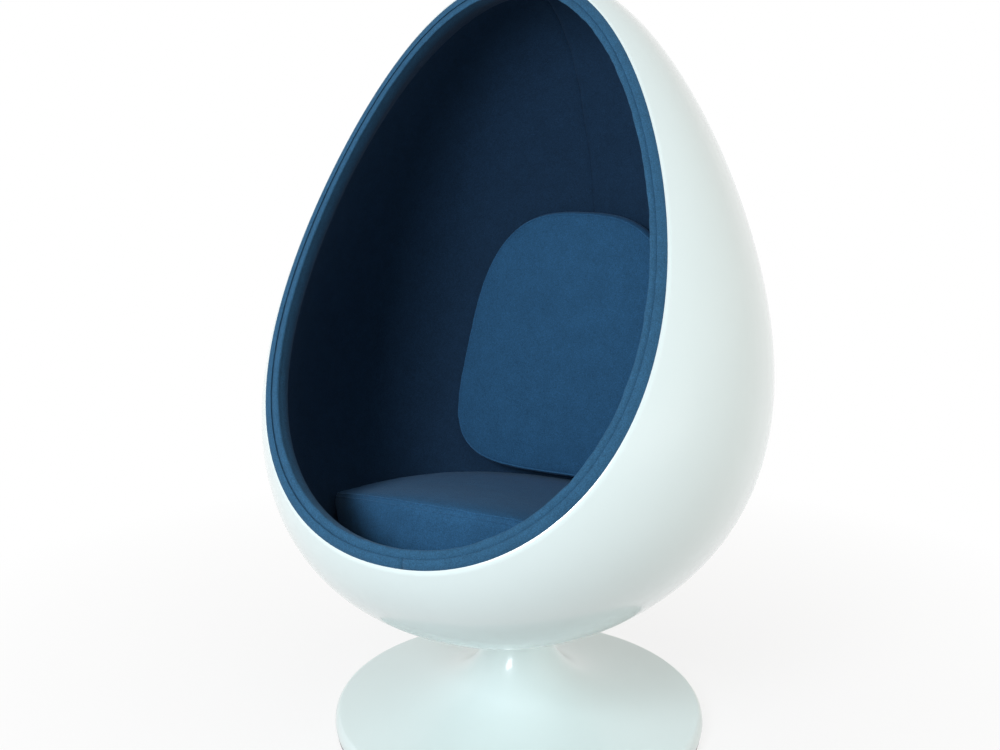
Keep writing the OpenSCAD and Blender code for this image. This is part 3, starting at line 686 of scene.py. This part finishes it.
def deck_piece():
    """Board under the seat cushion, covered with the lining's cloth."""
    bm = bmesh.new()
    bmesh.ops.create_circle(bm, cap_ends=True, segments=144, radius=1)
    p = spots(bm)
    a = np.arctan2(p[:, 1], p[:, 0])

    def beyond(m):
        x, y = m * np.cos(a), SEAT_MID + m * np.sin(a)
        return np.maximum(egg_side(seat_world(x, y, -DECK_THICK), LINING_IN + DECK_GAP),
                          egg_side(seat_world(x, y, 0 * x), LINING_IN + DECK_GAP)) > 0
    m = halve(beyond, np.zeros(a.shape), np.full(a.shape, POD_WIDE))
    x, y = m * np.cos(a), SEAT_MID + m * np.sin(a)
    move_to(bm, np.column_stack([x, y, np.full(a.shape, -DECK_THICK)]))
    top = bmesh.ops.extrude_face_region(bm, geom=bm.faces[:])["geom"]
    bmesh.ops.translate(bm, verts=[g for g in top if isinstance(g, bmesh.types.BMVert)], vec=(0, 0, DECK_THICK))
    bmesh.ops.recalc_face_normals(bm, faces=bm.faces[:])
    corners = [e for e in bm.edges if abs(e.verts[0].co.z - e.verts[1].co.z) < 1e-6]
    eased(bm, corners, 0.0035, 4)
    for face in [f for f in bm.faces if len(f.verts) > 8]:
        bmesh.ops.inset_region(bm, faces=[face], thickness=0.03, use_even_offset=True)
    bmesh.ops.triangulate(bm, faces=[f for f in bm.faces if len(f.verts) > 8])
    p = spots(bm)
    move_to(bm, seat_world(p[:, 0], p[:, 1], p[:, 2]))
    # Its cloth is the blue felt darkened as painted shade.
    return piece_from(bm, "deck_covered", "pod", wool_blue_painted_shade, ["seat_deck"])


def ball_rings(sides, rings):
    """A ball whose rings are laid out by a function of (angle, ring number), poles included."""
    bm = bmesh.new()
    bmesh.ops.create_uvsphere(bm, u_segments=sides, v_segments=rings + 1, radius=1)
    p = spots(bm)
    number = np.rint((math.pi - np.arccos(np.clip(p[:, 2], -1, 1))) / (math.pi / (rings + 1))).astype(int)
    return bm, np.arctan2(p[:, 1], p[:, 0]), number


def seat_form(slack):
    """Plain form of the seat cushion, drawn in by slack all round."""
    walls = [(0.0, 0.010), (0.03, 0.005), (0.08, 0.0015), (0.2, 0.0), (0.35, 0.0), (0.5, 0.0), (0.65, 0.0),
             (0.78, 0.0005), (0.88, 0.002), (0.94, 0.0045), (0.98, 0.009), (1.0, 0.015)]
    floor = [0.25, 0.5, 0.75, 0.92]
    tops = [0.94, 0.85, 0.7, 0.5, 0.25]
    bm, a, number = ball_rings(132, len(floor) + len(walls) + len(tops))
    x, y, z = (np.zeros(len(a)) for _ in range(3))
    base = seat_reach(a, np.zeros(a.shape), walls[0][1] + slack)
    rim_at = seat_reach(a, np.ones(a.shape), walls[-1][1] + slack)
    rows = [("floor", s) for s in floor] + [("wall", w) for w in walls] + [("top", s) for s in tops]
    y[number == 0] = y[number == len(rows) + 1] = SEAT_MID
    z[number == 0] = slack
    z[number == len(rows) + 1] = SEAT_THICK + SEAT_DOME - slack
    for i, (kind, value) in enumerate(rows, 1):
        on = number == i
        if kind == "floor":
            m, level = base[on] * value, 0
        elif kind == "wall":
            m, level = seat_reach(a[on], np.full(on.sum(), value[0]), value[1] + slack), value[0]
        else:
            m, level = rim_at[on] * value, 1
        x[on], y[on] = m * np.cos(a[on]), SEAT_MID + m * np.sin(a[on])
        thick = seat_thick(x[on], y[on])
        z[on] = slack + level * (thick - 2 * slack)
        if kind == "top":
            z[on] += SEAT_DOME * (1 - value * value)
    move_to(bm, seat_world(x, y, z))
    bmesh.ops.recalc_face_normals(bm, faces=bm.faces[:])
    return bm


BACK_UP = np.array([0, math.sin(BACK_LEAN), math.cos(BACK_LEAN)])
BACK_OUT = np.array([0, -math.cos(BACK_LEAN), math.sin(BACK_LEAN)])
BACK_AT = seat_world(np.zeros(1), np.array([BACK_FOOT]), np.array([SEAT_THICK + BACK_REST_GAP]))[0] \
    + BACK_TALL / 2 * BACK_UP - BACK_THICK * BACK_OUT


def back_outline(a, drawn):
    s = np.sin(a)
    square = np.where(s < 0, BACK_LOW_SQUARE, BACK_TOP_SQUARE)
    v = signed_power(s, 2 / square)
    u = signed_power(np.cos(a), 2 / square) * (1 - BACK_TAPER * v)
    return u * (BACK_WIDE / 2 - drawn), v * (BACK_TALL / 2 - drawn)


def back_world(u, v, w):
    return BACK_AT + np.outer(u, (1, 0, 0)) + np.outer(v, BACK_UP) + np.outer(w, BACK_OUT)


def back_form(slack):
    walls = [(0.0, 0.020), (0.05, 0.012), (0.12, 0.005), (0.25, 0.001), (0.4, 0.0), (0.55, 0.0), (0.7, 0.0005),
             (0.82, 0.002), (0.91, 0.005), (0.97, 0.010), (1.0, 0.017)]
    floor = [0.3, 0.6, 0.85]
    tops = [0.94, 0.84, 0.68, 0.48, 0.24]
    rows = [("floor", s) for s in floor] + [("wall", w) for w in walls] + [("top", s) for s in tops]
    bm, a, number = ball_rings(132, len(rows))
    u, v, w = (np.zeros(len(a)) for _ in range(3))
    w[number == 0] = slack
    w[number == len(rows) + 1] = BACK_THICK + BACK_CROWN - slack
    for i, (kind, value) in enumerate(rows, 1):
        on = number == i
        drawn, level, share = (walls[0][1], 0, value) if kind == "floor" else \
            (value[1], value[0], 1) if kind == "wall" else (walls[-1][1], 1, value)
        pu, pv = back_outline(a[on], drawn + slack)
        u[on], v[on] = pu * share, pv * share
        w[on] = slack + level * (BACK_THICK - 2 * slack)
        if kind == "top":
            w[on] += BACK_CROWN * (1 - value * value)
    move_to(bm, back_world(u, v, w))
    bmesh.ops.recalc_face_normals(bm, faces=bm.faces[:])
    return bm


def applied(piece):
    """The piece's mesh with its modifiers applied."""
    bpy.context.view_layer.update()
    evaluated = piece.evaluated_get(bpy.context.evaluated_depsgraph_get())
    mesh = bpy.data.meshes.new_from_object(evaluated)
    old = piece.data
    piece.modifiers.clear()
    piece.data = mesh
    bpy.data.meshes.remove(old)
    return piece


def smoothed(piece, name, times):
    relax = piece.modifiers.new(name, "SMOOTH")
    relax.factor = 0.5
    relax.iterations = times


def evenly_meshed(piece, voxel, times):
    """The piece's mesh in even small faces, smoothed this many times."""
    remesh = piece.modifiers.new("even_cover", "REMESH")
    remesh.mode = "VOXEL"
    remesh.voxel_size = voxel
    smoothed(piece, "relax", times)
    applied(piece)


def mesh_spots(mesh):
    p = np.zeros(len(mesh.vertices) * 3)
    mesh.vertices.foreach_get("co", p)
    return p.reshape(-1, 3)


CLOTH_FRAMES = 20


def stuffed(bm, name, material, voxel, held, pressure, cap):
    """Puffs a plain form up as a cover over its filling: remesh, cloth under pressure, capped, one subdivision."""
    piece = placed(name, mesh_of(bm, name))
    evenly_meshed(piece, voxel, 4)
    rest = mesh_spots(piece.data)
    stay = held(rest)
    group = piece.vertex_groups.new(name="seams")
    for weight in np.unique(np.round(stay, 1)):
        if weight > 0:
            group.add(np.flatnonzero(np.round(stay, 1) == weight).tolist(), float(weight), "REPLACE")
    cloth = piece.modifiers.new("cover", "CLOTH")
    cloth.settings.quality = 6
    cloth.settings.mass = 0.3
    cloth.settings.tension_stiffness = 18
    cloth.settings.compression_stiffness = 12
    cloth.settings.shear_stiffness = 8
    cloth.settings.bending_stiffness = 0.8
    cloth.settings.use_pressure = True
    cloth.settings.uniform_pressure_force = pressure
    cloth.settings.vertex_group_mass = "seams"
    cloth.settings.effector_weights.gravity = 0
    cloth.point_cache.frame_end = CLOTH_FRAMES
    for number in range(1, CLOTH_FRAMES + 1):
        bpy.context.scene.frame_set(number)
    evaluated = piece.evaluated_get(bpy.context.evaluated_depsgraph_get())
    puffed = mesh_spots(evaluated.data)
    piece.modifiers.clear()
    bpy.context.scene.frame_set(1)
    shift = puffed - rest
    length = np.maximum(np.linalg.norm(shift, axis=1), 1e-9)
    most = cap(rest)
    rest = rest + shift * (np.tanh(length / most) * most / length)[:, None]
    piece.data.vertices.foreach_set("co", rest.ravel())
    piece.data.update()
    smoothed(piece, "soften", 2)
    finer = piece.modifiers.new("finer", "SUBSURF")
    finer.levels = finer.render_levels = 1
    applied(piece)
    covered(piece.data, material)
    return piece


def laid_on(piece, path, lift):
    """Path points moved onto the piece's surface, and out of it by lift."""
    tree = BVHTree.FromObject(piece, bpy.context.evaluated_depsgraph_get())
    out = []
    for p in path:
        spot, normal, _, _ = tree.find_nearest(Vector(p))
        out.append(np.array(spot + normal * lift))
    return np.array(out)


def closed_line(name, points, radius, material, body, sides=4):
    """A seam or welt as a thin closed tube along points."""
    curve = bpy.data.curves.new(name, "CURVE")
    curve.dimensions = "3D"
    curve.bevel_depth = radius
    curve.bevel_resolution = sides
    spline = curve.splines.new("POLY")
    spline.points.add(len(points) - 1)
    for target, p in zip(spline.points, points):
        target.co = (*p, 1)
    spline.use_cyclic_u = True
    temporary = placed(name + "_curve", curve)
    bpy.context.view_layer.update()
    mesh = bpy.data.meshes.new_from_object(temporary.evaluated_get(bpy.context.evaluated_depsgraph_get()))
    bpy.data.objects.remove(temporary)
    covered(mesh, material)
    mesh.name = name
    piece = placed(name, mesh)
    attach(piece, body)
    return piece


def seat_local(p):
    q = p - np.array([0, 0, SEAT_Z])
    c, s = math.cos(SEAT_TILT), math.sin(SEAT_TILT)
    return np.column_stack([q[:, 0], q[:, 1] * c - q[:, 2] * s, q[:, 1] * s + q[:, 2] * c])


def back_local(p):
    q = p - BACK_AT
    return np.column_stack([q[:, 0], q @ BACK_UP, q @ BACK_OUT])


SEAT_SLACK = 0.004
BACK_SLACK = 0.004
around = np.linspace(-math.pi, math.pi, 361)[:-1]


def seat_line(level, drawn):
    m = seat_reach(around, np.full(around.shape, level), drawn)
    x, y = m * np.cos(around), SEAT_MID + m * np.sin(around)
    return seat_world(x, y, level * seat_thick(x, y))


def back_line(level, drawn):
    u, v = back_outline(around, drawn)
    return back_world(u, v, np.full(around.shape, level * BACK_THICK))


def near_lines(p, lines, reach):
    """1 on the lines, down to 0 at reach from them."""
    tree = KDTree(sum(len(line) for line in lines))
    for i, q in enumerate(np.vstack(lines)):
        tree.insert(q, i)
    tree.balance()
    far = np.array([tree.find(q)[2] for q in p])
    return np.clip(1.6 - 1.6 * far / reach, 0, 1)


def seat_piece():
    def held(p):
        q = seat_local(p)
        under = np.clip((0.012 - q[:, 2]) / 0.006, 0, 1)
        behind = np.clip((q[:, 1] - 0.14) / 0.03, 0, 1) * (q[:, 2] > 0.06)
        return np.maximum.reduce([near_lines(p, [seat_line(0.95, 0.008)], 0.010), under, 0.9 * behind])

    def cap(p):
        q = seat_local(p)
        return np.where(q[:, 1] > 0.12, 0.0035, 0.0065)

    piece = stuffed(seat_form(SEAT_SLACK), "seat_pad", wool_blue, 0.0072, held, 4.0, cap)
    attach(piece, "pod")
    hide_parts("seat_cushion")
    edge = laid_on(piece, seat_line(0.955, 0.008), 0.0002)
    closed_line("seat_edge_seam", edge, 0.0013, seam_blue, "pod")
    stitch = laid_on(piece, seat_line(0.865, 0.003), 0.0)
    closed_line("seat_top_stitch", stitch, 0.0008, seam_blue, "pod", 2)


def back_piece():
    def held(p):
        q = back_local(p)
        behind = np.clip((0.012 - q[:, 2]) / 0.006, 0, 1)
        return np.maximum(near_lines(p, [back_line(0.93, 0.008), back_line(0.08, 0.01)], 0.010), behind)

    def cap(p):
        q = back_local(p)
        return np.where((q[:, 2] > 0.03) & (q[:, 1] > -0.2), 0.009, 0.0035)

    piece = stuffed(back_form(BACK_SLACK), "back_pad", wool_blue, 0.0064, held, 4.0, cap)
    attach(piece, "back_pad")
    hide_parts("back_cushion")
    edge = laid_on(piece, back_line(0.94, 0.007), 0.0003)
    closed_line("back_edge_seam", edge, 0.0015, seam_blue, "back_pad")


def lumbar_piece():
    """Block behind the back cushion, covered in the lining's cloth."""
    bm = bmesh.new()
    bm.from_mesh(frame["nodes"]["lumbar_block"].data)
    bmesh.ops.remove_doubles(bm, verts=bm.verts[:], dist=1e-5)
    piece = placed("lumbar_covered", mesh_of(bm, "lumbar_covered"))
    evenly_meshed(piece, 0.005, 6)
    # Its cloth is the blue felt darkened as painted shade.
    covered(piece.data, wool_blue_painted_shade)
    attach(piece, "pod")
    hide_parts("lumbar_block")


shell_piece()
trim_piece()
roll_piece()
lining_piece(-1)
lining_piece(1)
foot_piece()
deck_piece()
seat_piece()
back_piece()
lumbar_piece()

slots = {row["node"]: row["material_slot"] for row in frame["record"]["subparts"]}
for node, thing in frame["nodes"].items():
    if not thing.hide_render and slots[node] in finishes:
        thing.data.materials.clear()
        thing.data.materials.append(finishes[slots[node]])


# ---- Stage: floor, lights, camera ----

FLOOR_REACH = 40
FLOOR_BOUNCE, FLOOR_SEEN = 0.42, 0.9
FLOOR_GLOW, GLOW_FROM, GLOW_TO = 0.8, 0.45, 1.5


def seen_share(tree):
    """1 for rays of the camera, of gloss and of glass, so that they all meet the white background."""
    path = tree.nodes.new("ShaderNodeLightPath")
    seen = path.outputs["Is Camera Ray"]
    for kind in ("Is Glossy Ray", "Is Transmission Ray"):
        either = tree.nodes.new("ShaderNodeMath")
        either.operation = "MAXIMUM"
        tree.links.new(seen, either.inputs[0])
        tree.links.new(path.outputs[kind], either.inputs[1])
        seen = either.outputs[0]
    return seen


def stage_floor():
    """Pale floor that runs out into the white background and keeps the chair's soft shadow."""
    bm = bmesh.new()
    bmesh.ops.create_grid(bm, x_segments=8, y_segments=8, size=FLOOR_REACH)
    mesh = mesh_of(bm, "studio_floor")
    floor = placed("studio_floor", mesh)
    material = bpy.data.materials.new("studio_floor")
    material.use_nodes = True
    tree = material.node_tree
    tree.nodes.clear()
    out = tree.nodes.new("ShaderNodeOutputMaterial")
    matt = tree.nodes.new("ShaderNodeBsdfDiffuse")
    seen = seen_share(tree)
    tone = tree.nodes.new("ShaderNodeMix")
    tone.data_type = "RGBA"
    tone.inputs[6].default_value = (FLOOR_BOUNCE, FLOOR_BOUNCE, FLOOR_BOUNCE, 1)
    tone.inputs[7].default_value = (FLOOR_SEEN, FLOOR_SEEN, FLOOR_SEEN, 1)
    tree.links.new(seen, tone.inputs[0])
    tree.links.new(tone.outputs[2], matt.inputs["Color"])
    glow = tree.nodes.new("ShaderNodeEmission")
    glow.inputs["Color"].default_value = (1, 1, 1, 1)
    glow.inputs["Strength"].default_value = 1.0
    place = tree.nodes.new("ShaderNodeTexCoord")
    away = tree.nodes.new("ShaderNodeVectorMath")
    away.operation = "LENGTH"
    tree.links.new(place.outputs["Object"], away.inputs[0])
    fade = tree.nodes.new("ShaderNodeMapRange")
    for name, value in (("From Min", GLOW_FROM), ("From Max", GLOW_TO), ("To Min", FLOOR_GLOW), ("To Max", 1.0)):
        fade.inputs[name].default_value = value
    tree.links.new(away.outputs["Value"], fade.inputs["Value"])
    share = tree.nodes.new("ShaderNodeMath")
    share.operation = "MULTIPLY"
    tree.links.new(seen, share.inputs[0])
    tree.links.new(fade.outputs["Result"], share.inputs[1])
    blend = tree.nodes.new("ShaderNodeMixShader")
    tree.links.new(share.outputs[0], blend.inputs[0])
    tree.links.new(matt.outputs[0], blend.inputs[1])
    tree.links.new(glow.outputs[0], blend.inputs[2])
    tree.links.new(blend.outputs[0], out.inputs["Surface"])
    mesh.materials.append(material)


def studio_world(colour, strength):
    world = bpy.data.worlds.new("studio")
    bpy.context.scene.world = world
    world.use_nodes = True
    tree = world.node_tree
    tree.nodes.clear()
    out = tree.nodes.new("ShaderNodeOutputWorld")
    light = tree.nodes.new("ShaderNodeBackground")
    light.inputs["Color"].default_value = (*colour, 1)
    light.inputs["Strength"].default_value = strength
    white = tree.nodes.new("ShaderNodeBackground")
    white.inputs["Color"].default_value = (1, 1, 1, 1)
    blend = tree.nodes.new("ShaderNodeMixShader")
    tree.links.new(seen_share(tree), blend.inputs[0])
    tree.links.new(light.outputs[0], blend.inputs[1])
    tree.links.new(white.outputs[0], blend.inputs[2])
    tree.links.new(blend.outputs[0], out.inputs["Surface"])


def soft_box(name, place, target, wide, tall, power, colour, mirrored=True):
    light = bpy.data.lights.new(name, "AREA")
    light.shape = "RECTANGLE"
    light.size, light.size_y = wide, tall
    light.energy = power
    light.color = colour
    lamp = placed(name, light)
    lamp.visible_glossy = mirrored
    lamp.location = place
    lamp.rotation_mode = "QUATERNION"
    lamp.rotation_quaternion = (Vector(target) - Vector(place)).to_track_quat("-Z", "Y")


stage_floor()
studio_world((1.0, 0.94, 0.88), 0.41)
soft_box("key_front", (-0.14, -2.78, 1.87), (0, 0, 0.7), 0.75, 1.1, 56, (0.85, 0.925, 1.0))
soft_box("high_right", (1.2, -1.9, 2.6), (-0.1, -0.2, 0.5), 0.9, 0.9, 3.1, (0.97, 1.0, 1.0), mirrored=False)
soft_box("low_left", (-1.8, -2.2, 0.6), (0, 0, 0.5), 1.2, 0.8, 10.9, (1.0, 0.98, 0.96), mirrored=False)
soft_box("low_right", (2.9, -0.6, 0.6), (0, 0, 0.4), 1.6, 0.9, 17.2, (1.0, 0.98, 0.96), mirrored=False)
soft_box("side_right", (3.2, 0.9, 1.6), (0, 0, 0.7), 3.2, 3.0, 16.3, (1.0, 0.98, 0.96), mirrored=False)
soft_box("back_left", (-2.4, 2.6, 1.2), (0, 0, 0.6), 2.0, 2.0, 15.8, (1.0, 0.99, 0.98), mirrored=False)

AZIMUTH = math.radians(25.4701)
YAW = math.radians(-1.0147)
PITCH = math.radians(-12.6348)
CAMERA_FAR = 1.9342442
CAMERA_HIGH = 1.0771428
FOCAL_PIXELS = 1146.6775
IMAGE_WIDE = 1000
SENSOR_WIDE = 36

forward_flat = np.array([-math.sin(AZIMUTH), math.cos(AZIMUTH), 0])
right_flat = np.array([math.cos(AZIMUTH), math.sin(AZIMUTH), 0])
level = forward_flat * math.cos(YAW) + right_flat * math.sin(YAW)
right = right_flat * math.cos(YAW) - forward_flat * math.sin(YAW)
up = np.array([0, 0, 1.0])
forward = level * math.cos(PITCH) + up * math.sin(PITCH)
upward = -level * math.sin(PITCH) + up * math.cos(PITCH)
lens = bpy.data.cameras.new("photo_view")
lens.sensor_width = SENSOR_WIDE
lens.lens = FOCAL_PIXELS * SENSOR_WIDE / IMAGE_WIDE
camera = placed("photo_view", lens)
turn = Matrix((right, upward, -forward)).transposed().to_4x4()
camera.matrix_world = Matrix.Translation((math.sin(AZIMUTH) * CAMERA_FAR, -math.cos(AZIMUTH) * CAMERA_FAR,
                                          CAMERA_HIGH)) @ turn
bpy.context.scene.camera = camera
bpy.context.scene.view_settings.view_transform = "Standard"
